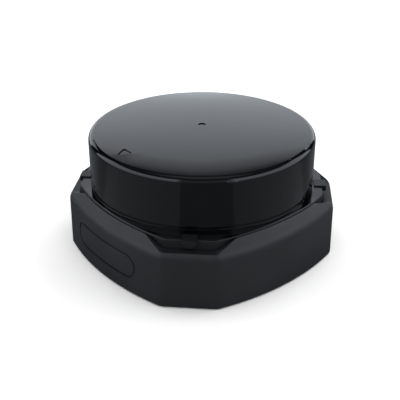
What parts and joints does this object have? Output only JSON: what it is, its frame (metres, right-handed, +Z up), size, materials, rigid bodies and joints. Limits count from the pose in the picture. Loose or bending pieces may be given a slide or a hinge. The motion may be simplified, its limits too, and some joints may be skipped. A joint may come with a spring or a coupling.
{
  "type": "lidar sensor",
  "caption": "Low square scanner base with notched corners and a glossy domed window, around a motor-driven optical head",
  "frame": {"origin": "centre of the mounting face, on the axis that the head turns about", "axes": "+Z up out of the window cap; -Y the face with the emblem's place and the arrow mark; +Y the face with the cable socket"},
  "size_m": [0.077, 0.077, 0.0388],
  "materials": {
    "housing_plastic": "fine matte grain",
    "window_plastic": "polished, dark",
    "cover_metal": "satin black",
    "seal_rubber": "smooth",
    "screw_steel": "plated",
    "insert_brass": "turned",
    "circuit_board": "solder mask over glass fibre",
    "chip_resin": "moulded resin",
    "ferrite": "sintered",
    "can_aluminium": "drawn",
    "socket_plastic": "moulded",
    "clear_resin": "clear resin",
    "turned_aluminium": "turned",
    "bearing_steel": "ground",
    "lamination_steel": "stamped",
    "copper_wire": "enamelled",
    "optics_plastic": "moulded",
    "lens_glass": "polished",
    "filter_glass": "coated",
    "counterweight_brass": "machined"
  },
  "bodies": {
    "housing": {"base_housing": "housing_plastic", "bottom_plate": "cover_metal", "plate_gasket": "seal_rubber", "plate_screws": "screw_steel", "mounting_inserts": "insert_brass", "window_cap": "window_plastic", "window_gasket": "seal_rubber", "main_board": "circuit_board", "controller_chip": "chip_resin", "motor_driver": "chip_resin", "power_inductor": "ferrite", "board_capacitors": "can_aluminium", "cable_socket": "socket_plastic", "socket_pins": "insert_brass", "link_receiver": "clear_resin", "bearing_tube": "turned_aluminium", "lower_bearing_outer_ring": "bearing_steel", "upper_bearing_outer_ring": "bearing_steel", "stator_core": "lamination_steel", "stator_windings": "copper_wire", "primary_ferrite": "ferrite", "primary_coil": "copper_wire", "encoder_sensor": "socket_plastic"},
    "rotor": {"shaft": "bearing_steel", "retaining_ring": "lamination_steel", "bearing_spacer": "turned_aluminium", "lower_bearing_inner_ring": "bearing_steel", "upper_bearing_inner_ring": "bearing_steel", "rotor_bell": "lamination_steel", "rotor_magnet": "ferrite", "turntable": "turned_aluminium", "secondary_ferrite": "ferrite", "secondary_coil": "copper_wire", "encoder_ring": "socket_plastic", "optics_frame": "optics_plastic", "emitter_lens": "lens_glass", "receiver_lens": "lens_glass", "receiver_filter": "filter_glass", "detector_board": "circuit_board", "laser_diode": "insert_brass", "detector": "chip_resin", "head_board": "circuit_board", "head_processor": "chip_resin", "link_emitter": "clear_resin", "counterweight": "counterweight_brass"}
  },
  "joints": [
    {"name": "head_spin", "type": "hinge", "parent": "housing", "child": "rotor", "pos_m": [0, 0, 0.0215], "axis": [0, 0, 1], "continuous": true}
  ]
}
